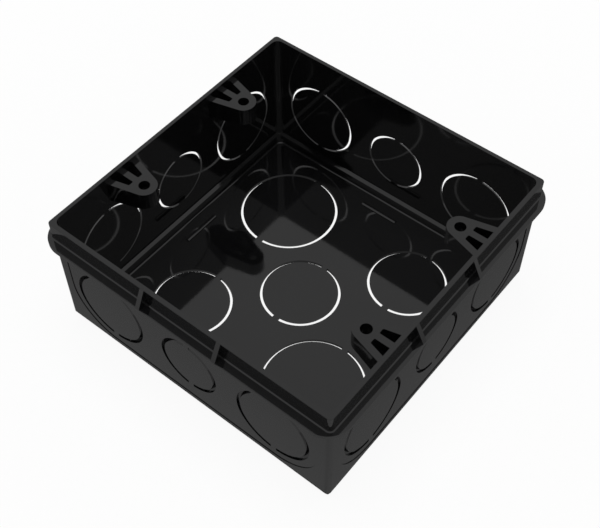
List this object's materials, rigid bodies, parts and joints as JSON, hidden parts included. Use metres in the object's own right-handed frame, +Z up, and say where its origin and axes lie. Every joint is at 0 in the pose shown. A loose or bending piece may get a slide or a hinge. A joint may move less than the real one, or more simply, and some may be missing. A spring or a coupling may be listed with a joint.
{
  "type": "square electrical box",
  "caption": "Square flush-mounting wiring box of moulded black plastic, open at the top, with a flanged rim, screw ears and round knockouts for conduit.",
  "frame": {"origin": "centre of the box's underside, at its lowest point", "axes": "+Z up, out of the open mouth; +X and -X towards the two walls that carry the screw ears"},
  "size_m": [0.111, 0.111, 0.0469],
  "materials": {
    "black_plastic": "glossy moulded"
  },
  "bodies": {
    "root": {"box_body": "black_plastic"}
  },
  "joints": []
}
